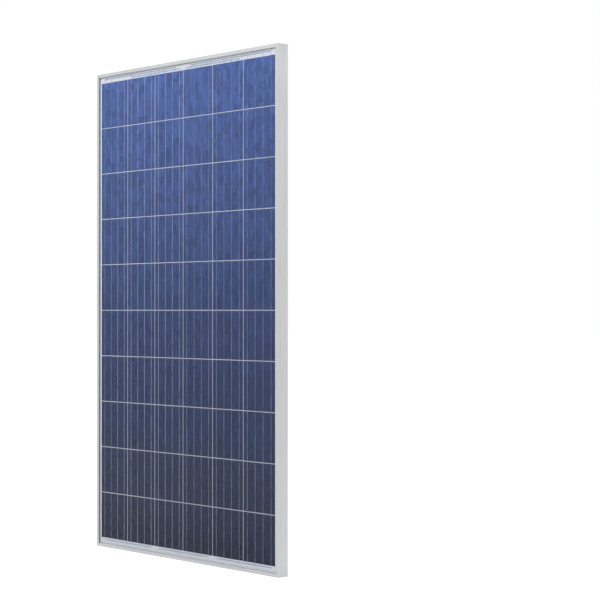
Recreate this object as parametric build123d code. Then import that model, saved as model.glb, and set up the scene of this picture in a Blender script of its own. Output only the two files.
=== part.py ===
from build123d import *
from math import pi
import os

# A framed photovoltaic panel, standing upright. Millimetres, +Z along the long side, glass to -Y, back to +Y.
# The origin is at the centre of the four corner holes, on the plane of the rear flanges.

# Cells and margins, which set the size of the panel
CELL = 156.75
CELL_GAP = 2.0
COLUMNS = 6
ROWS = 10
SIDE_MARGIN = 20.75
END_MARGIN = 32.25

# Frame rails
FRAME_DEPTH = 40.0
WEB = 1.8
LIP_WIDTH = 11.0
LIP_THICK = 1.5
SHELF_THICK = 1.5
CHAMBER_DEPTH = 12.0
CHAMBER_WALL = 1.5
FLANGE_WIDTH = 35.0
FLANGE_THICK = 1.8
GROOVE_INSET = 16.0
GROOVE_WIDTH = 2.4
GROOVE_DEPTH = 1.0
DRAIN_OFFSET = 236.0
DRAIN_WIDTH = 6.0
HOLE_RADIUS = 4.0
HOLE_SIDE_INSET = 23.0
HOLE_END_INSET = 14.5
KEY_LEG = 60.0
KEY_CLEARANCE = 0.3

# Laminate, front to back
GLASS_THICK = 3.2
FRONT_FILM = 0.4
RIBBON_THICK = 0.2
CELL_THICK = 0.2
REAR_FILM = 0.6
BACKSHEET_THICK = 0.3
LAMINATE_INSET = 3.5
SEALANT = 0.5

# Ribbons
BUSBARS = 4
RIBBON_WIDTH = 1.4
BUS_WIDTH = 4.0
BUS_OFFSET = 4.0
BUS_ROW_GAP = 3.0
LEAD_WIDTH = 5.0
LEAD_SPACING = 30.0
LEAD_CLEARANCE = 0.5

# Junction box
BOX_WIDTH = 135.0
BOX_HEIGHT = 200.0
BOX_DROP = 60.0
LID_WALL = 2.5
BOX_FLOOR = 2.0
BASE_DEPTH = 18.5
LID_DEPTH = 11.5
LID_INSET = 3.5
LID_PLATE = 2.5
LID_STEP_DROP = 60.0
LID_STEP = 1.2
LID_EDGE = 4.0
LID_GROOVE_WIDTH = 6.0
LID_GROOVE_DEPTH = 2.4
SHOULDER_WIDTH = 45.0
SHOULDER_DROP = 18.0
FOOT_CHAMFER = 9.0
CORNER_RADIUS = 5.0
PAD_THICK = 0.8
PAD_INSET = 6.0
GASKET_THICK = 1.0
GASKET_WIDTH = 1.6
LATCH_DROP = 33.0
LATCH_HEIGHT = 20.0
LATCH_THICK = 6.0
LATCH_RISE = 6.5
LATCH_REACH = 8.0
CATCH_GAP = 0.5
LATCH_CLEARANCE = 0.3
CATCH_DEPTH = 4.0

# Terminals and diodes
TERMINAL_WIDTH = 10.0
TERMINAL_HEIGHT = 14.0
TERMINAL_DEPTH = 8.0
TERMINAL_DROP = 110.0
LEAD_SLOT_DROP = 80.0
SCREW_RADIUS = 1.5
SCREW_HEAD_RADIUS = 3.2
SCREW_HEAD_DEPTH = 1.8
SCREW_LENGTH = 6.0
HOLE_CLEARANCE = 0.2
DIODE_RADIUS = 2.6
DIODE_LENGTH = 9.5
DIODE_LEAD_RADIUS = 0.6

# Cables, glands and connectors
CABLE_RADIUS = 3.1
CONDUCTOR_RADIUS = 1.3
CABLE_SPACING = 42.0
CABLE_CLEARANCE = 0.3
CABLE_TAIL = 31.0
CONDUCTOR_LENGTH = 10.0
CABLE_HANG = 948.0
BOSS_RADIUS = 7.0
BOSS_LENGTH = 8.0
NUT_RADIUS = 8.2
NUT_TIP_RADIUS = 6.0
NUT_LENGTH = 15.0
NUT_TAPER = 5.0
SEAL_RADIUS = 5.9
SEAL_LENGTH = 7.0
CONNECTOR_NUT_LENGTH = 16.0
CONNECTOR_NUT_LIP = 5.0
HOUSING_RADIUS = 7.2
HOUSING_LENGTH = 47.0
HOUSING_STEP = 18.0
CABLE_INSERTION = 8.0
CABLE_POCKET = 15.0
MOUTH_RADIUS = 5.5
MOUTH_DEPTH = 24.0
PIN_RADIUS = 1.8
PIN_RECESS = 12.0
NOSE_RADIUS = 4.9
SOCKET_RADIUS = 2.4
SOCKET_BORE = 1.6
SOCKET_RECESS = 5.0
CONTACT_CLEARANCE = 0.2
ARM_WIDTH = 4.0
ARM_THICK = 1.2
ARM_GAP = 1.2
ARM_LENGTH = 20.0

# Worked out from the sizes above
PITCH = CELL + CELL_GAP
WIDTH = COLUMNS * PITCH - CELL_GAP + 2 * SIDE_MARGIN
HEIGHT = ROWS * PITCH - CELL_GAP + 2 * END_MARGIN
FRONT = -FRAME_DEPTH
GLASS_Y = FRONT + LIP_THICK + SEALANT
FILM_Y = GLASS_Y + GLASS_THICK
RIBBON_Y = FILM_Y + FRONT_FILM
CELL_Y = RIBBON_Y + RIBBON_THICK
REAR_FILM_Y = CELL_Y + CELL_THICK
BACKSHEET_Y = REAR_FILM_Y + REAR_FILM
BACK_Y = BACKSHEET_Y + BACKSHEET_THICK
SHELF_Y = BACK_Y + SEALANT
CHAMBER_Y = SHELF_Y + SHELF_THICK
CHAMBER_END_Y = CHAMBER_Y + CHAMBER_DEPTH
LEAD_Y = BACKSHEET_Y - RIBBON_THICK
CELLS_TOP = HEIGHT / 2 - END_MARGIN
BOX_Y = BACK_Y + PAD_THICK
FLOOR_Y = BOX_Y + BOX_FLOOR
RIM_Y = BOX_Y + BASE_DEPTH
LID_Y = RIM_Y + GASKET_THICK
RIM_WIDTH = LID_INSET + GASKET_WIDTH
BOX_TOP = HEIGHT / 2 - BOX_DROP
BOX_BOTTOM = BOX_TOP - BOX_HEIGHT
CABLE_Y = BOX_Y + BASE_DEPTH / 2
TERMINAL_TOP = BOX_TOP - TERMINAL_DROP
TERMINAL_FACE = FLOOR_Y + TERMINAL_DEPTH
LEAD_SLOT_Z = BOX_TOP - LEAD_SLOT_DROP
LEAD_XS = [(i - 1.5) * LEAD_SPACING for i in range(4)]
CABLE_XS = [-CABLE_SPACING / 2, CABLE_SPACING / 2]
CABLE_BORE = CABLE_RADIUS + CABLE_CLEARANCE
CABLE_TOP = BOX_BOTTOM + CABLE_TAIL
GLAND_Z = BOX_BOTTOM - BOSS_LENGTH
EXIT_Z = GLAND_Z - NUT_LENGTH
CONNECTOR_TOP = EXIT_Z - CABLE_HANG
HOUSING_TOP = CONNECTOR_TOP - CONNECTOR_NUT_LENGTH
HOUSING_END = HOUSING_TOP - HOUSING_LENGTH
CABLE_END = HOUSING_TOP - CABLE_INSERTION


def block(x0, x1, y0, y1, z0, z1):
    """A box between two corners."""
    centre = Pos((x0 + x1) / 2, (y0 + y1) / 2, (z0 + z1) / 2)
    return centre * Box(x1 - x0, y1 - y0, z1 - z0)


def post(x, y, z_low, z_high, radius, tip=None):
    """A cylinder along Z, or a cone whose lower end has the radius tip."""
    place = Pos(x, y, (z_low + z_high) / 2)
    if tip is None:
        return place * Cylinder(radius, z_high - z_low)
    return place * Cone(tip, radius, z_high - z_low)


def dowel(x, z, y_low, y_high, radius):
    """A cylinder along Y."""
    return Pos(x, (y_low + y_high) / 2, z) * Rot(90, 0, 0) * Cylinder(radius, y_high - y_low)


def plate(y0, y1, outline):
    """An outline drawn in X and Z, given thickness from y0 to y1."""
    return extrude(Plane.XZ.offset(-y1) * outline, y1 - y0)


# Frame

def rail_section():
    """The section of a rail: outer web, front lip, shelf, key chamber and rear flange."""
    inner = CHAMBER_END_Y + CHAMBER_WALL
    points = [
        (FRONT, 0), (0, 0), (0, FLANGE_WIDTH), (-FLANGE_THICK, FLANGE_WIDTH), (-FLANGE_THICK, WEB),
        (inner, WEB), (inner, LIP_WIDTH), (SHELF_Y, LIP_WIDTH), (SHELF_Y, WEB),
        (FRONT + LIP_THICK, WEB), (FRONT + LIP_THICK, LIP_WIDTH), (FRONT, LIP_WIDTH),
    ]
    outer = make_face(Polyline(*points, close=True))
    chamber_width = LIP_WIDTH - WEB - CHAMBER_WALL
    chamber_place = Pos((CHAMBER_Y + CHAMBER_END_Y) / 2, WEB + chamber_width / 2)
    return outer - chamber_place * Rectangle(CHAMBER_DEPTH, chamber_width)


def rail(run):
    """A rail along X with its outer face down at Z = 0 and its ends mitred."""
    bar = extrude(Plane.YZ * rail_section(), run / 2, both=True)
    reach = FLANGE_WIDTH + 1
    mitre = make_face(Polyline(
        (-run / 2, 0), (run / 2, 0), (run / 2 - reach, reach), (-run / 2 + reach, reach), close=True,
    ))
    return bar & plate(FRONT - 1, 1, mitre)


def end_rail():
    """A short rail with the flange's groove, drain notches and corner holes."""
    bar = rail(WIDTH)
    half = WIDTH / 2 - HOLE_SIDE_INSET
    groove = GROOVE_INSET - GROOVE_WIDTH / 2
    bar -= block(-half, half, -GROOVE_DEPTH, 1, groove, groove + GROOVE_WIDTH)
    for side in (-1, 1):
        x = side * DRAIN_OFFSET - DRAIN_WIDTH / 2
        bar -= block(x, x + DRAIN_WIDTH, -FLANGE_THICK - 1, 1, GROOVE_INSET, FLANGE_WIDTH + 1)
        bar -= dowel(side * half, HOLE_END_INSET, -FLANGE_THICK - 1, 1, HOLE_RADIUS)
    return Pos(0, 0, -HEIGHT / 2) * bar


def side_rail():
    """A long rail, at -X."""
    return Pos(-WIDTH / 2, 0, 0) * Rot(0, 90, 0) * rail(HEIGHT)


def corner_keys():
    """An L-shaped key in the chambers at each corner."""
    near = WEB + KEY_CLEARANCE
    far = LIP_WIDTH - CHAMBER_WALL - KEY_CLEARANCE
    low, high = CHAMBER_Y + KEY_CLEARANCE, CHAMBER_END_Y - KEY_CLEARANCE
    key = block(near, KEY_LEG, low, high, near, far) + block(near, far, low, high, near, KEY_LEG)
    corner = Pos(-WIDTH / 2, 0, -HEIGHT / 2) * key
    low_pair = [corner, mirror(corner, Plane.YZ)]
    return low_pair + [mirror(item, Plane.XY) for item in low_pair]


# Laminate

def sheet(y0, y1):
    """One full layer of the laminate."""
    half_x, half_z = WIDTH / 2 - LAMINATE_INSET, HEIGHT / 2 - LAMINATE_INSET
    return block(-half_x, half_x, y0, y1, -half_z, half_z)


def lead_slot(x, y0, y1):
    """The slot that a ribbon lead passes through."""
    half = LEAD_WIDTH / 2 + LEAD_CLEARANCE
    low = LEAD_SLOT_Z - LEAD_CLEARANCE
    return block(x - half, x + half, y0, y1, low, LEAD_SLOT_Z + RIBBON_THICK + LEAD_CLEARANCE)


def cell_x(column):
    return (column - (COLUMNS - 1) / 2) * PITCH


def cells():
    """All the cells, each a thin square."""
    made = []
    for column in range(COLUMNS):
        for row in range(ROWS):
            x, z = cell_x(column), (row - (ROWS - 1) / 2) * PITCH
            made.append(block(x - CELL / 2, x + CELL / 2, CELL_Y, REAR_FILM_Y, z - CELL / 2, z + CELL / 2))
    return made


def bus_row(row):
    """The lower edge of a row of cross ribbons, above the cells: 0 is the near row and 1 the far one."""
    return CELLS_TOP + BUS_OFFSET + row * (BUS_WIDTH + BUS_ROW_GAP)


def cell_ribbons():
    """The ribbons along each column's cells, ending on the cross ribbons."""
    made = []
    for column in range(COLUMNS):
        top = bus_row(1 if column in (0, COLUMNS - 1) else 0)
        for index in range(BUSBARS):
            x = cell_x(column) + ((index + 0.5) / BUSBARS - 0.5) * CELL
            made.append(block(x - RIBBON_WIDTH / 2, x + RIBBON_WIDTH / 2, RIBBON_Y, CELL_Y, -bus_row(0), top))
    return made


def bus_ribbon(x0, x1, z):
    return block(x0, x1, RIBBON_Y, CELL_Y, z, z + BUS_WIDTH)


def bus_ribbons():
    """Cross ribbons: pairs of columns below, and above them the inner pairs and the two ends."""
    reach = CELL / 2 - CELL / BUSBARS / 2 + RIBBON_WIDTH / 2
    made = []
    for first in range(0, COLUMNS - 1, 2):
        made.append(bus_ribbon(cell_x(first) - reach, cell_x(first + 1) + reach, -bus_row(0) - BUS_WIDTH))
    for first in range(1, COLUMNS - 2, 2):
        made.append(bus_ribbon(cell_x(first) - reach, cell_x(first + 1) + reach, bus_row(0)))
    inner = LEAD_XS[0] + LEAD_WIDTH / 2
    made.append(bus_ribbon(cell_x(0) - reach, inner, bus_row(1)))
    made.append(bus_ribbon(-inner, cell_x(COLUMNS - 1) + reach, bus_row(1)))
    return made


def lead_run(x, row):
    """The part of a lead inside the laminate, from its cross ribbon to its slot."""
    x0, x1 = x - LEAD_WIDTH / 2, x + LEAD_WIDTH / 2
    top = bus_row(row) + BUS_WIDTH
    foot = block(x0, x1, CELL_Y, BACKSHEET_Y, top - BUS_WIDTH, top)
    return foot + block(x0, x1, LEAD_Y, BACKSHEET_Y, LEAD_SLOT_Z, top)


def ribbon_lead(x, row):
    """A flat lead: behind the cells, out through its slot and on to its terminal."""
    x0, x1 = x - LEAD_WIDTH / 2, x + LEAD_WIDTH / 2
    z0, end = LEAD_SLOT_Z, TERMINAL_FACE + RIBBON_THICK
    riser = block(x0, x1, LEAD_Y, end, z0, z0 + RIBBON_THICK)
    tab = block(x0, x1, TERMINAL_FACE, end, TERMINAL_TOP - TERMINAL_HEIGHT, z0 + RIBBON_THICK)
    lead = lead_run(x, row) + riser + tab
    z = TERMINAL_TOP - TERMINAL_HEIGHT / 2
    return lead - dowel(x, z, TERMINAL_FACE - 1, end + 1, SCREW_RADIUS + HOLE_CLEARANCE)


def lead_rows():
    """Each lead's place along X and the row of its cross ribbon."""
    return zip(LEAD_XS, (1, 0, 0, 1))


def rear_encapsulant():
    film = sheet(REAR_FILM_Y, BACKSHEET_Y)
    for x, row in lead_rows():
        film -= lead_run(x, row)
    return film


def backsheet():
    sheet_back = sheet(BACKSHEET_Y, BACK_Y)
    for x in LEAD_XS:
        sheet_back -= lead_slot(x, BACKSHEET_Y - 1, BACK_Y + 1)
    return sheet_back


def edge_sealant():
    """The bead that beds the laminate in the rails' slots."""
    half_x, half_z = WIDTH / 2 - WEB, HEIGHT / 2 - WEB
    inner_x, inner_z = WIDTH / 2 - LIP_WIDTH, HEIGHT / 2 - LIP_WIDTH
    bead = block(-half_x, half_x, FRONT + LIP_THICK, SHELF_Y, -half_z, half_z)
    bead -= block(-inner_x, inner_x, FRONT, SHELF_Y + 1, -inner_z, inner_z)
    return bead - sheet(GLASS_Y, BACK_Y)


# Junction box

def box_outline(inset):
    """The box's outline: sloping shoulders above, small chamfers below, all its corners rounded."""
    half = BOX_WIDTH / 2
    shoulder, foot = half - SHOULDER_WIDTH, half - FOOT_CHAMFER
    points = [
        (-foot, BOX_BOTTOM), (foot, BOX_BOTTOM), (half, BOX_BOTTOM + FOOT_CHAMFER),
        (half, BOX_TOP - SHOULDER_DROP), (shoulder, BOX_TOP), (-shoulder, BOX_TOP),
        (-half, BOX_TOP - SHOULDER_DROP), (-half, BOX_BOTTOM + FOOT_CHAMFER),
    ]
    face = make_face(Polyline(*points, close=True))
    if inset:
        face = offset(face, -inset, kind=Kind.INTERSECTION)
    return fillet(face.vertices(), CORNER_RADIUS)


def gland_boss(x):
    return post(x, CABLE_Y, GLAND_Z, BOX_BOTTOM, BOSS_RADIUS)


def base_catch(side):
    """The bump on the base's side that the lid's latch ends above."""
    z = BOX_TOP - LATCH_DROP
    x0, x1 = BOX_WIDTH / 2, BOX_WIDTH / 2 + LATCH_THICK
    end = LID_Y - LATCH_REACH - CATCH_GAP
    bump = block(x0, x1, end - CATCH_DEPTH, end, z - LATCH_HEIGHT / 2, z + LATCH_HEIGHT / 2)
    return bump if side > 0 else mirror(bump, Plane.YZ)


def junction_box_base():
    """An open tray with two gland bosses, a catch at each side and slots for the leads."""
    base = plate(BOX_Y, RIM_Y, box_outline(0)) - plate(FLOOR_Y, RIM_Y + 1, box_outline(RIM_WIDTH))
    for x in CABLE_XS:
        base += gland_boss(x)
        base -= post(x, CABLE_Y, GLAND_Z - 1, BOX_BOTTOM + RIM_WIDTH + 1, CABLE_BORE)
    for side in (-1, 1):
        base += base_catch(side)
    for x in LEAD_XS:
        base -= lead_slot(x, BOX_Y - 1, FLOOR_Y + 1)
    return base


def lid_latch():
    """The tongue at the lid's side, which reaches down beside the base."""
    z = BOX_TOP - LATCH_DROP
    low, high = z - LATCH_HEIGHT / 2, z + LATCH_HEIGHT / 2
    x1 = BOX_WIDTH / 2 + LATCH_THICK
    tongue = block(BOX_WIDTH / 2 + LATCH_CLEARANCE, x1, LID_Y - LATCH_REACH, LID_Y + LATCH_RISE, low, high)
    bridge = block(BOX_WIDTH / 2 - LID_INSET - 1, x1, LID_Y, LID_Y + LATCH_RISE, low, high)
    return chamfer((tongue + bridge).edges().filter_by(Axis.Z).sort_by(Axis.Y)[-1], LATCH_RISE / 3)


def junction_box_lid():
    """A shallow cover with a chamfered face, lower above its cross step and groove."""
    top = LID_Y + LID_DEPTH
    shell = plate(LID_Y, top, box_outline(LID_INSET))
    shell = chamfer(shell.faces().sort_by(Axis.Y)[-1].edges(), LID_EDGE)
    step_z = BOX_TOP - LID_STEP_DROP
    shell -= block(-BOX_WIDTH, BOX_WIDTH, top - LID_STEP, top + 1, step_z, BOX_TOP + 1)
    groove_half = BOX_WIDTH / 2 - LID_INSET - LID_EDGE
    groove_y = top - LID_GROOVE_DEPTH
    shell -= block(-groove_half, groove_half, groove_y, top + 1, step_z, step_z + LID_GROOVE_WIDTH)
    shell -= plate(LID_Y - 1, top - LID_STEP - LID_PLATE, box_outline(LID_INSET + LID_WALL))
    return shell + lid_latch() + mirror(lid_latch(), Plane.YZ)


def lid_gasket():
    """The seal on the base's rim, under the edge of the lid."""
    outer = plate(RIM_Y, LID_Y, box_outline(LID_INSET))
    return outer - plate(RIM_Y - 1, LID_Y + 1, box_outline(RIM_WIDTH))


def adhesive_pad():
    """The pad that bonds the base to the backsheet."""
    pad = plate(BACK_Y, BOX_Y, box_outline(PAD_INSET))
    for x in LEAD_XS:
        pad -= lead_slot(x, BACK_Y - 1, BOX_Y + 1)
    return pad


def terminal(x):
    """A terminal block, and at the ends its bar to the cable."""
    low = TERMINAL_TOP - TERMINAL_HEIGHT
    x0, x1 = x - TERMINAL_WIDTH / 2, x + TERMINAL_WIDTH / 2
    made = block(x0, x1, FLOOR_Y, TERMINAL_FACE, low, TERMINAL_TOP)
    if abs(x) > LEAD_SPACING:
        foot = CABLE_TOP + CONDUCTOR_LENGTH
        inner = (CABLE_SPACING - TERMINAL_WIDTH) / 2
        made += block(x0, x1, FLOOR_Y, TERMINAL_FACE, foot, low)
        bar = (inner, x1) if x > 0 else (x0, -inner)
        made += block(*bar, FLOOR_Y, TERMINAL_FACE, foot, foot + TERMINAL_WIDTH)
    depth = TERMINAL_FACE - SCREW_LENGTH - 1
    hole_z = TERMINAL_TOP - TERMINAL_HEIGHT / 2
    return made - dowel(x, hole_z, depth, TERMINAL_FACE + 1, SCREW_RADIUS + HOLE_CLEARANCE)


def terminal_screw(x):
    """A screw whose head holds the lead down on its terminal."""
    z = TERMINAL_TOP - TERMINAL_HEIGHT / 2
    seat = TERMINAL_FACE + RIBBON_THICK
    shank = dowel(x, z, seat - SCREW_LENGTH, seat, SCREW_RADIUS)
    return shank + dowel(x, z, seat, seat + SCREW_HEAD_DEPTH, SCREW_HEAD_RADIUS)


def diode(x):
    """A bypass diode between two terminals."""
    z = TERMINAL_TOP - TERMINAL_HEIGHT / 2
    place = Pos(x, FLOOR_Y + TERMINAL_DEPTH / 2, z) * Rot(0, 90, 0)
    wire = Cylinder(DIODE_LEAD_RADIUS, LEAD_SPACING - TERMINAL_WIDTH)
    return place * (wire + Cylinder(DIODE_RADIUS, DIODE_LENGTH))


# Glands, cables and connectors

def gland_nut(x):
    """A cap nut with a tapered tip, hollow for its seal."""
    taper = EXIT_Z + NUT_TAPER
    nut = post(x, CABLE_Y, taper, GLAND_Z, NUT_RADIUS)
    nut += post(x, CABLE_Y, EXIT_Z, taper, NUT_RADIUS, NUT_TIP_RADIUS)
    nut -= post(x, CABLE_Y, EXIT_Z - 1, GLAND_Z + 1, CABLE_BORE)
    return nut - post(x, CABLE_Y, GLAND_Z - SEAL_LENGTH, GLAND_Z + 1, SEAL_RADIUS + CONTACT_CLEARANCE)


def ring_seal(x, z_low, z_high):
    """A rubber sleeve round a cable."""
    return post(x, CABLE_Y, z_low, z_high, SEAL_RADIUS) - post(x, CABLE_Y, z_low - 1, z_high + 1, CABLE_BORE)


def cable(x):
    return post(x, CABLE_Y, CABLE_END, CABLE_TOP, CABLE_RADIUS)


def conductor(x):
    return post(x, CABLE_Y, CABLE_TOP, CABLE_TOP + CONDUCTOR_LENGTH, CONDUCTOR_RADIUS)


def connector_nut(x):
    """A many-sided cap nut at the top of a connector."""
    sides = extrude(RegularPolygon(NUT_RADIUS, 12), CONNECTOR_NUT_LENGTH)
    nut = Pos(x, CABLE_Y, HOUSING_TOP) * sides
    nut -= post(x, CABLE_Y, HOUSING_TOP - 1, CONNECTOR_TOP + 1, CABLE_BORE)
    seat = CONNECTOR_TOP - CONNECTOR_NUT_LIP
    return nut - post(x, CABLE_Y, HOUSING_TOP - 1, seat, SEAL_RADIUS + CONTACT_CLEARANCE)


def cable_pocket(x):
    """The bore in a housing that takes the cable's end."""
    return post(x, CABLE_Y, HOUSING_TOP - CABLE_POCKET, HOUSING_TOP + 1, CABLE_BORE)


def socket_housing(x):
    """The straight housing, with a wide mouth round its pin."""
    body = post(x, CABLE_Y, HOUSING_END, HOUSING_TOP, HOUSING_RADIUS) - cable_pocket(x)
    body -= post(x, CABLE_Y, HOUSING_END - 1, HOUSING_END + MOUTH_DEPTH, MOUTH_RADIUS)
    return body - post(x, CABLE_Y, HOUSING_END, HOUSING_TOP, PIN_RADIUS + CONTACT_CLEARANCE)


def latch_arm(x, side):
    """A springy arm beside the nose, hanging from the shoulder."""
    near = NOSE_RADIUS + ARM_GAP
    top = HOUSING_TOP - HOUSING_STEP
    x0, x1 = sorted((x + side * near, x + side * (near + ARM_THICK)))
    return block(x0, x1, CABLE_Y - ARM_WIDTH / 2, CABLE_Y + ARM_WIDTH / 2, top - ARM_LENGTH, top + 1)


def plug_housing(x):
    """The tapering housing, with a nose that enters the mating connector."""
    shoulder = HOUSING_TOP - HOUSING_STEP
    body = post(x, CABLE_Y, shoulder, HOUSING_TOP, HOUSING_RADIUS)
    body += post(x, CABLE_Y, HOUSING_END, shoulder, NOSE_RADIUS)
    body += latch_arm(x, -1) + latch_arm(x, 1)
    body -= cable_pocket(x)
    return body - post(x, CABLE_Y, HOUSING_END - 1, HOUSING_TOP, SOCKET_RADIUS + CONTACT_CLEARANCE)


def contact_pin(x):
    return post(x, CABLE_Y, HOUSING_END + PIN_RECESS, CABLE_END, PIN_RADIUS)


def contact_socket(x):
    low = HOUSING_END + SOCKET_RECESS
    tube = post(x, CABLE_Y, low, CABLE_END, SOCKET_RADIUS)
    return tube - post(x, CABLE_Y, low - 1, low + 2 * MOUTH_RADIUS, SOCKET_BORE)


def nodes():
    """Each node's name with its solid or solids."""
    negative_x, positive_x = CABLE_XS
    bottom, left = end_rail(), side_rail()
    seal_top = CONNECTOR_TOP - CONNECTOR_NUT_LIP
    diode_xs = [(a + b) / 2 for a, b in zip(LEAD_XS, LEAD_XS[1:])]
    return {
        "frame_rail_bottom": bottom,
        "frame_rail_top": mirror(bottom, Plane.XY),
        "frame_rail_left": left,
        "frame_rail_right": mirror(left, Plane.YZ),
        "corner_keys": corner_keys(),
        "front_glass": sheet(GLASS_Y, FILM_Y),
        "front_encapsulant": sheet(FILM_Y, RIBBON_Y),
        "cell_ribbons": cell_ribbons(),
        "bus_ribbons": bus_ribbons(),
        "solar_cells": cells(),
        "rear_encapsulant": rear_encapsulant(),
        "ribbon_leads": [ribbon_lead(x, row) for x, row in lead_rows()],
        "backsheet": backsheet(),
        "edge_sealant": edge_sealant(),
        "box_adhesive_pad": adhesive_pad(),
        "junction_box_base": junction_box_base(),
        "junction_box_lid": junction_box_lid(),
        "lid_gasket": lid_gasket(),
        "terminal_clips": [terminal(x) for x in LEAD_XS],
        "terminal_screws": [terminal_screw(x) for x in LEAD_XS],
        "bypass_diodes": [diode(x) for x in diode_xs],
        "gland_nuts": [gland_nut(x) for x in CABLE_XS],
        "gland_seals": [ring_seal(x, GLAND_Z - SEAL_LENGTH, GLAND_Z) for x in CABLE_XS],
        "cable_conductors": [conductor(x) for x in CABLE_XS],
        "cable_negative": cable(negative_x),
        "cable_positive": cable(positive_x),
        "plug_nut": connector_nut(negative_x),
        "socket_nut": connector_nut(positive_x),
        "plug_seal": ring_seal(negative_x, HOUSING_TOP, seal_top),
        "socket_seal": ring_seal(positive_x, HOUSING_TOP, seal_top),
        "plug_housing": plug_housing(negative_x),
        "socket_housing": socket_housing(positive_x),
        "contact_socket": contact_socket(negative_x),
        "contact_pin": contact_pin(positive_x),
    }


os.makedirs("parts", exist_ok=True)
made = nodes()
for name, shape in made.items():
    solids = [s for item in (shape if isinstance(shape, list) else [shape]) for s in item.solids()]
    export_step(solids[0] if len(solids) == 1 else Compound(children=solids), f"parts/{name}.step")
length = CABLE_TOP - CABLE_END
print("each cable is one straight run, radius", CABLE_RADIUS, "length", length)
print("volume", made["cable_positive"].volume, "section times length", pi * CABLE_RADIUS ** 2 * length)
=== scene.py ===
import math

import bpy
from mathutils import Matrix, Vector


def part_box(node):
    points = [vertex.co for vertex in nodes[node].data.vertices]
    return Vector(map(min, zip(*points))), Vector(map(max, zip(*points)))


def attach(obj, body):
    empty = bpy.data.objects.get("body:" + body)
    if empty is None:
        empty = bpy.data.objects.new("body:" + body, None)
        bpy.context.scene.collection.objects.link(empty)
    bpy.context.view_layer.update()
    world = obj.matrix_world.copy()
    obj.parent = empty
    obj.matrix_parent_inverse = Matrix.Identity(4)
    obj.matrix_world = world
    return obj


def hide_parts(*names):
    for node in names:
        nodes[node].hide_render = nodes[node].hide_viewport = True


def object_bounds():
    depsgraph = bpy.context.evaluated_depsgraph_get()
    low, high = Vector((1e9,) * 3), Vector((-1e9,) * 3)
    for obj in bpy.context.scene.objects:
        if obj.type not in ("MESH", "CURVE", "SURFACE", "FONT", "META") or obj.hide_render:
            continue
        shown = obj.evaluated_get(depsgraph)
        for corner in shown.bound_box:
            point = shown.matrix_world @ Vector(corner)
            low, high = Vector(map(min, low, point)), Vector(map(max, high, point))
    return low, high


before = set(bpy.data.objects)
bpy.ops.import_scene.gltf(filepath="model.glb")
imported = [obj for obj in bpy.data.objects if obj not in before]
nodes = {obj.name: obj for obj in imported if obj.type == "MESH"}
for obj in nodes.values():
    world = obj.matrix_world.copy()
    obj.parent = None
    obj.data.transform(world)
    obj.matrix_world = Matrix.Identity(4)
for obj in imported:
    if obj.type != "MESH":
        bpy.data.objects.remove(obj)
cad_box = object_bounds()

# Sizes, in metres
CABLE_DIAMETER = 0.0062
CABLE_HIDDEN_TOP = 0.012
CABLE_HIDDEN_END = 0.012
FLOOR_HALF = 40.0
FLOOR_DROP = 0.0005

# How the floor shows to the camera: its own white, and the share that its shadow can take from it
FLOOR_GLOW = 0.8
FLOOR_SHADED = 0.42
FLOOR_PLAIN = 0.8

# Light: the sky's colour and strength, then each lamp's name, place, size and power
SKY_COLOR = (0.93, 0.965, 1)
SKY_STRENGTH = 0.62
LAMPS = (
    ("key", (-1.6, -3.6, 3.4), 2.4, 170),
    ("fill", (4.2, -0.6, 2.2), 2.4, 60),
    ("rear", (1.8, 4.2, 3.2), 2.6, 150),
)

# Anodised aluminium: its plain colour, the dark and pale drawn lines, and the clouds
ALUMINIUM = (0.5, 0.505, 0.51)
LINE_DARK = (0.47, 0.475, 0.48)
LINE_PALE = (0.53, 0.535, 0.54)
CLOUD = (0.45, 0.46, 0.475)
LINES_ALONG_Z = (900, 900, 6)
LINES_ALONG_X = (6, 900, 900)

# Cells: their colour by height, which follows the photograph and is their blue with a painted reflection,
# pale at the top and deep at the foot, and their grains per metre
CELL_FOOT_WITH_REFLECTION = (0.007, 0.009, 0.03)
CELL_MIDDLE_WITH_REFLECTION = (0.034, 0.06, 0.185)
CELL_TOP_WITH_REFLECTION = (0.082, 0.155, 0.46)
REFLECTION_RAMP_HALF = 0.8
GRAIN_DARK = (0.0, 0.004, 0.03)
GRAIN_BRIGHT = (3.0, 2.6, 2.0)
LARGE_GRAINS = (62, 62, 38)
SMALL_GRAINS = (190, 190, 150)
FINGER_SCALE = 160.0

# Ribbons: their dull and bright patches
RIBBON_DULL = (0.32, 0.4, 0.58)
RIBBON_BRIGHT = (0.52, 0.6, 0.74)

# Camera: level with the panel's middle, turned to see the glass and the right side
TURN = math.radians(49.5)
NEAR_DEPTH = 5.481
NEAR_LEFT = 0.068
LENS = 106.6
TILT = math.radians(0.33)


# Camera

def make_camera():
    """Places the camera by the panel's near front edge: how deep it lies, and how far left of the axis."""
    right_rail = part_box("frame_rail_right")
    near = Vector((right_rail[1][0], right_rail[0][1], 0))
    ahead = Vector((-math.sin(TURN), math.cos(TURN), 0))
    right = Vector((math.cos(TURN), math.sin(TURN), 0))
    data = bpy.data.cameras.new("camera")
    data.lens = LENS
    camera = bpy.data.objects.new("camera", data)
    bpy.context.scene.collection.objects.link(camera)
    camera.location = near - ahead * NEAR_DEPTH + right * NEAR_LEFT
    look = ahead * math.cos(TILT) + Vector((0, 0, math.sin(TILT)))
    camera.rotation_euler = look.to_track_quat("-Z", "Y").to_euler()
    bpy.context.scene.camera = camera


make_camera()


# Node helpers

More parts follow.
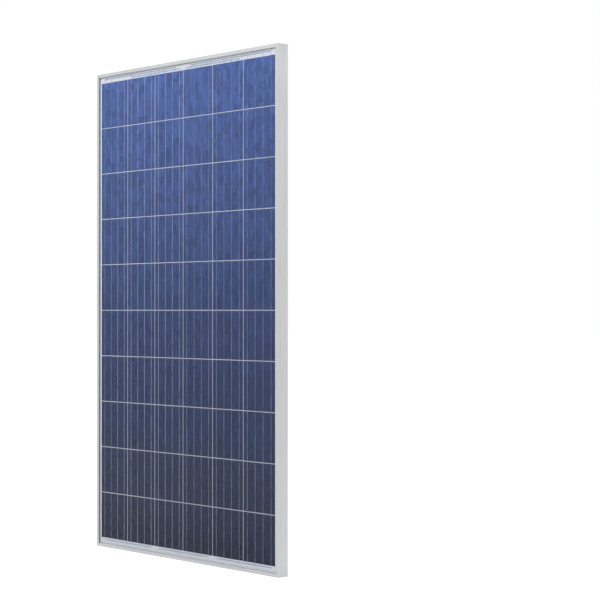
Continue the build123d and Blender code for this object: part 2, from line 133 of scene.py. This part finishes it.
class Shader:
    """A material's node tree, with short calls for what the materials below share."""

    def __init__(self, name, color, roughness, metallic=0.0, alpha=1.0, ior=1.5):
        self.material = bpy.data.materials.new(name)
        self.material.use_nodes = True
        self.tree = self.material.node_tree
        self.tree.nodes.clear()
        self.output = self.add("ShaderNodeOutputMaterial")
        self.surface = self.add("ShaderNodeBsdfPrincipled")
        self.link(self.surface.outputs[0], self.output.inputs[0])
        self.set(self.surface, "Base Color", (*color, 1))
        self.set(self.surface, "Roughness", roughness)
        self.set(self.surface, "Metallic", metallic)
        self.set(self.surface, "Alpha", alpha)
        self.set(self.surface, "IOR", ior)
        self.coords = self.add("ShaderNodeTexCoord").outputs["Object"]

    def add(self, kind):
        return self.tree.nodes.new(kind)

    def link(self, source, target):
        self.tree.links.new(source, target)

    def set(self, node, socket, value):
        node.inputs[socket].default_value = value

    def scaled(self, scale):
        """The object's own coordinates, stretched along each axis."""
        mapping = self.add("ShaderNodeMapping")
        self.set(mapping, "Scale", scale)
        self.link(self.coords, mapping.inputs["Vector"])
        return mapping.outputs[0]

    def noise(self, scale, detail=3.0, stretch=(1, 1, 1)):
        node = self.add("ShaderNodeTexNoise")
        self.set(node, "Scale", scale)
        self.set(node, "Detail", detail)
        self.link(self.scaled(stretch), node.inputs["Vector"])
        return node.outputs["Fac"]

    def span(self, source, low, high, to_low, to_high):
        """Maps low..high to to_low..to_high, and stops at both ends."""
        node = self.add("ShaderNodeMapRange")
        sockets = ("From Min", "From Max", "To Min", "To Max")
        for socket, value in zip(sockets, (low, high, to_low, to_high)):
            self.set(node, socket, value)
        self.link(source, node.inputs["Value"])
        return node.outputs[0]

    def mix(self, factor, first, second, blend="MIX"):
        """Two colours, or sockets, mixed by a socket or a number."""
        node = self.add("ShaderNodeMix")
        node.data_type = "RGBA"
        node.blend_type = blend
        for index, value in ((0, factor), (6, first), (7, second)):
            if hasattr(value, "is_output"):
                self.link(value, node.inputs[index])
            elif index == 0:
                node.inputs[index].default_value = value
            else:
                node.inputs[index].default_value = (*value, 1)
        return node.outputs[2]

    def color(self, source):
        self.link(source, self.surface.inputs["Base Color"])

    def rough(self, source):
        self.link(source, self.surface.inputs["Roughness"])

    def bump(self, height, strength, distance):
        node = self.add("ShaderNodeBump")
        self.set(node, "Strength", strength)
        self.set(node, "Distance", distance)
        self.link(height, node.inputs["Height"])
        self.link(node.outputs[0], self.surface.inputs["Normal"])


# Materials

def anodised(name, along):
    """Satin anodised aluminium, with the fine drawn lines that an extrusion has along its length."""
    made = Shader(name, ALUMINIUM, 0.4, metallic=0.6)
    lines = made.noise(1.0, 4.0, along)
    clouds = made.noise(7.0, 3.0)
    shade = made.mix(made.span(lines, 0.35, 0.65, 0, 1), LINE_DARK, LINE_PALE)
    made.color(made.mix(made.span(clouds, 0.4, 0.75, 0, 0.35), shade, CLOUD))
    made.rough(made.span(clouds, 0.35, 0.7, 0.32, 0.44))
    made.bump(lines, 0.12, 0.0003)
    return made.material


def panel_glass():
    """Tempered glass with an antireflection coat, a little blue and nearly clear."""
    made = Shader("front_glass", (0.01, 0.02, 0.05), 0.09, alpha=0.1, ior=1.8)
    made.rough(made.span(made.noise(3.0), 0.3, 0.7, 0.07, 0.13))
    made.bump(made.noise(60.0, 2.0), 0.03, 0.0002)
    return made.material


def clear_film(name, alpha):
    """A clear film, with the faintest haze."""
    made = Shader(name, (0.9, 0.92, 0.94), 0.4, alpha=alpha)
    made.rough(made.span(made.noise(20.0), 0.3, 0.7, 0.35, 0.5))
    return made.material


def silicon():
    """Polycrystalline silicon: grains of close blues under fine printed lines.

    The photograph shows it deeper towards the foot. That is painted here by height, reflection and all.
    """
    made = Shader("polycrystalline_silicon_with_reflection", (0.05, 0.08, 0.2), 0.34, ior=1.12)
    grains = made.add("ShaderNodeTexVoronoi")
    made.set(grains, "Scale", 1.0)
    made.link(made.scaled(LARGE_GRAINS), grains.inputs["Vector"])
    small = made.add("ShaderNodeTexVoronoi")
    made.set(small, "Scale", 1.0)
    made.link(made.scaled(SMALL_GRAINS), small.inputs["Vector"])
    split = made.add("ShaderNodeSeparateXYZ")
    made.link(made.coords, split.inputs[0])
    # Painted reflection: the cells' blue is ramped by height, deepest at the foot and palest at the top
    height = made.span(split.outputs["Z"], -REFLECTION_RAMP_HALF, REFLECTION_RAMP_HALF, 0, 1)
    reflection_ramp = made.add("ShaderNodeValToRGB")
    stops = reflection_ramp.color_ramp.elements
    stops[0].color = (*CELL_FOOT_WITH_REFLECTION, 1)
    stops[1].color = (*CELL_TOP_WITH_REFLECTION, 1)
    middle = stops.new(0.5)
    middle.color = (*CELL_MIDDLE_WITH_REFLECTION, 1)
    made.link(height, reflection_ramp.inputs[0])
    grain_tone = made.add("ShaderNodeSeparateColor")
    made.link(grains.outputs["Color"], grain_tone.inputs[0])
    small_tone = made.add("ShaderNodeSeparateColor")
    made.link(small.outputs["Color"], small_tone.inputs[0])
    large = made.span(grain_tone.outputs[0], 0, 1, 0.0, 0.42)
    tone = made.mix(large, reflection_ramp.outputs[0], GRAIN_DARK)
    bright = made.span(small_tone.outputs[1], 0.6, 1, 0.0, 0.16)
    made.color(made.mix(bright, tone, GRAIN_BRIGHT, "MULTIPLY"))
    made.rough(made.span(grain_tone.outputs[1], 0, 1, 0.28, 0.46))
    fingers = made.add("ShaderNodeTexWave")
    fingers.bands_direction = "Z"
    made.set(fingers, "Scale", FINGER_SCALE)
    made.link(made.coords, fingers.inputs["Vector"])
    made.bump(fingers.outputs["Fac"], 0.02, 0.0001)
    return made.material


def tinned():
    """Solder-tinned copper ribbon, bright with dull patches."""
    made = Shader("tinned_ribbon", (0.36, 0.43, 0.56), 0.36, metallic=0.3)
    patches = made.noise(160.0, 3.0, (1, 1, 0.2))
    made.color(made.mix(made.span(patches, 0.35, 0.65, 0, 1), RIBBON_DULL, RIBBON_BRIGHT))
    made.rough(made.span(patches, 0.3, 0.7, 0.22, 0.42))
    made.bump(patches, 0.2, 0.0002)
    return made.material


def white_sheet(name, color, scale):
    """A white laminated film with a faint orange-peel surface."""
    made = Shader(name, color, 0.55)
    peel = made.noise(scale, 2.0)
    soft = made.noise(2.2, 2.0)
    darker = tuple(value * 0.965 for value in color)
    made.color(made.mix(made.span(soft, 0.35, 0.65, 0, 1), color, darker))
    made.rough(made.span(soft, 0.3, 0.7, 0.48, 0.62))
    made.bump(peel, 0.08, 0.0004)
    return made.material


def moulded(name, color, roughness, grain=700.0, ior=1.5):
    """Moulded plastic with a fine spark-eroded grain and slightly paler high spots."""
    made = Shader(name, color, roughness, ior=ior)
    fine = made.noise(grain, 2.0)
    soft = made.noise(18.0, 3.0)
    paler = tuple(min(1.0, value * 1.22 + 0.004) for value in color)
    made.color(made.mix(made.span(soft, 0.35, 0.7, 0, 0.8), color, paler))
    made.rough(made.span(fine, 0.3, 0.7, roughness - 0.06, roughness + 0.08))
    made.bump(fine, 0.22, 0.0003)
    return made.material


def rubber(name, color):
    """Soft rubber or cured sealant, with small waves from its bead or mould."""
    made = Shader(name, color, 0.62)
    waves = made.noise(90.0, 3.0)
    made.rough(made.span(waves, 0.3, 0.7, 0.52, 0.72))
    made.bump(waves, 0.15, 0.0004)
    return made.material


def bare_metal(name, color, roughness):
    """Plated or bare metal, with fine scratches."""
    made = Shader(name, color, roughness, metallic=1.0)
    scratches = made.noise(500.0, 4.0, (1, 0.15, 1))
    made.rough(made.span(scratches, 0.3, 0.7, roughness - 0.08, roughness + 0.14))
    made.bump(scratches, 0.12, 0.0002)
    return made.material


def dress(material, *names):
    """Gives CAD nodes one material."""
    for name in names:
        data = nodes[name].data
        data.materials.clear()
        data.materials.append(material)


def dress_all():
    dress(anodised("anodised_upright", LINES_ALONG_Z), "frame_rail_left", "frame_rail_right")
    dress(anodised("anodised_level", LINES_ALONG_X), "frame_rail_top", "frame_rail_bottom")
    dress(panel_glass(), "front_glass")
    dress(clear_film("front_film", 0.01), "front_encapsulant")
    dress(silicon(), "solar_cells")
    dress(tinned(), "cell_ribbons", "bus_ribbons", "ribbon_leads")
    dress(white_sheet("white_film", (0.86, 0.885, 0.92), 300.0), "rear_encapsulant")
    dress(white_sheet("backsheet", (0.88, 0.885, 0.89), 420.0), "backsheet")
    dress(rubber("sealant", (0.62, 0.63, 0.64)), "edge_sealant", "box_adhesive_pad")
    # Painted shade: the box's base is far darker, and reflects less, than the lid's plastic, for the shade
    # on the box's sides
    dress(moulded("box_plastic", (0.004, 0.004, 0.005), 0.5, ior=1.2), "junction_box_base")
    dress(moulded("lid_plastic", (0.062, 0.063, 0.066), 0.55, ior=1.35), "junction_box_lid")
    dress(rubber("black_rubber", (0.014, 0.014, 0.015)),
          "lid_gasket", "gland_seals", "plug_seal", "socket_seal")
    dress(moulded("diode_body", (0.02, 0.02, 0.02), 0.4), "bypass_diodes")
    dress(moulded("connector_plastic", (0.01, 0.01, 0.011), 0.42, ior=1.4),
          "gland_nuts", "plug_nut", "socket_nut", "plug_housing", "socket_housing")
    dress(bare_metal("tinned_brass", (0.78, 0.75, 0.66), 0.3),
          "terminal_clips", "contact_pin", "contact_socket")
    dress(bare_metal("screw_steel", (0.66, 0.67, 0.68), 0.28), "terminal_screws")
    dress(bare_metal("bare_copper", (0.86, 0.42, 0.24), 0.35), "cable_conductors")
    dress(bare_metal("cast_key", (0.6, 0.61, 0.62), 0.5), "corner_keys")


dress_all()


# Cables

def make_cable(name, replaced, pieces, material):
    """A cable pulled straight by its connector, from inside its gland nut to inside its connector's nut."""
    low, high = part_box(replaced)
    x, y = (low[0] + high[0]) / 2, (low[1] + high[1]) / 2
    exit_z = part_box("gland_nuts")[0][2]
    end_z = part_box(pieces[0])[1][2]
    top, bottom = exit_z + CABLE_HIDDEN_TOP, end_z - CABLE_HIDDEN_END
    data = bpy.data.curves.new(name, "CURVE")
    data.dimensions = "3D"
    data.bevel_depth = CABLE_DIAMETER / 2
    data.bevel_resolution = 8
    data.use_fill_caps = True
    spline = data.splines.new("NURBS")
    spline.points.add(2)
    for point, z in zip(spline.points, (top, (top + bottom) / 2, bottom)):
        point.co = (x, y, z, 1)
    spline.order_u = 3
    spline.use_endpoint_u = True
    data.materials.append(material)
    cable = bpy.data.objects.new(name, data)
    bpy.context.scene.collection.objects.link(cable)
    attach(cable, "panel")
    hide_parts(replaced)


jacket = moulded("cable_jacket", (0.03, 0.03, 0.033), 0.38, 240.0)
make_cable(
    "cable_jacket_negative", "cable_negative",
    ["plug_nut", "plug_seal", "plug_housing", "contact_socket"], jacket,
)
make_cable(
    "cable_jacket_positive", "cable_positive",
    ["socket_nut", "socket_seal", "socket_housing", "contact_pin"], jacket,
)


# Floor, backdrop and light

def seen_directly(tree):
    """1 for camera, glossy and see-through rays, and 0 for the rays that carry light."""
    path = tree.nodes.new("ShaderNodeLightPath")
    total = path.outputs["Is Camera Ray"]
    for name in ("Is Glossy Ray", "Is Transmission Ray"):
        either = tree.nodes.new("ShaderNodeMath")
        either.operation = "MAXIMUM"
        tree.links.new(total, either.inputs[0])
        tree.links.new(path.outputs[name], either.inputs[1])
        total = either.outputs[0]
    return total


def floor_material():
    """A pale floor that meets the white backdrop without a line and keeps the panel's shadow."""
    material = bpy.data.materials.new("floor")
    material.use_nodes = True
    tree = material.node_tree
    tree.nodes.clear()
    output = tree.nodes.new("ShaderNodeOutputMaterial")
    plain_floor = tree.nodes.new("ShaderNodeBsdfDiffuse")
    plain_floor.inputs["Color"].default_value = (FLOOR_PLAIN, FLOOR_PLAIN, FLOOR_PLAIN, 1)
    shadowed = tree.nodes.new("ShaderNodeBsdfDiffuse")
    shadowed.inputs["Color"].default_value = (FLOOR_SHADED, FLOOR_SHADED, FLOOR_SHADED, 1)
    glow = tree.nodes.new("ShaderNodeEmission")
    glow.inputs["Strength"].default_value = FLOOR_GLOW
    both = tree.nodes.new("ShaderNodeAddShader")
    tree.links.new(shadowed.outputs[0], both.inputs[0])
    tree.links.new(glow.outputs[0], both.inputs[1])
    mix = tree.nodes.new("ShaderNodeMixShader")
    tree.links.new(seen_directly(tree), mix.inputs[0])
    tree.links.new(plain_floor.outputs[0], mix.inputs[1])
    tree.links.new(both.outputs[0], mix.inputs[2])
    tree.links.new(mix.outputs[0], output.inputs[0])
    return material


def make_floor():
    low = cad_box[0][2]
    mesh = bpy.data.meshes.new("floor")
    corners = ((-1, -1), (1, -1), (1, 1), (-1, 1))
    points = [(x * FLOOR_HALF, y * FLOOR_HALF, low - FLOOR_DROP) for x, y in corners]
    mesh.from_pydata(points, [], [(0, 1, 2, 3)])
    floor = bpy.data.objects.new("floor", mesh)
    bpy.context.scene.collection.objects.link(floor)
    mesh.materials.append(floor_material())


def make_world():
    """A soft even sky, and plain white where the camera, metal and glass see it."""
    world = bpy.data.worlds.new("world")
    bpy.context.scene.world = world
    world.use_nodes = True
    tree = world.node_tree
    tree.nodes.clear()
    output = tree.nodes.new("ShaderNodeOutputWorld")
    seen = tree.nodes.new("ShaderNodeBackground")
    seen.inputs["Color"].default_value = (1, 1, 1, 1)
    light = tree.nodes.new("ShaderNodeBackground")
    light.inputs["Color"].default_value = (*SKY_COLOR, 1)
    light.inputs["Strength"].default_value = SKY_STRENGTH
    mix = tree.nodes.new("ShaderNodeMixShader")
    tree.links.new(seen_directly(tree), mix.inputs[0])
    tree.links.new(light.outputs[0], mix.inputs[1])
    tree.links.new(seen.outputs[0], mix.inputs[2])
    tree.links.new(mix.outputs[0], output.inputs[0])


def make_lamp(name, place, size, power):
    """A soft square lamp, aimed at the panel's middle."""
    data = bpy.data.lights.new(name, "AREA")
    data.size = size
    data.energy = power
    lamp = bpy.data.objects.new(name, data)
    bpy.context.scene.collection.objects.link(lamp)
    lamp.location = place
    lamp.rotation_euler = (-Vector(place)).to_track_quat("-Z", "Y").to_euler()


make_floor()
make_world()
for lamp_settings in LAMPS:
    make_lamp(*lamp_settings)

bpy.context.scene.view_settings.view_transform = "Standard"
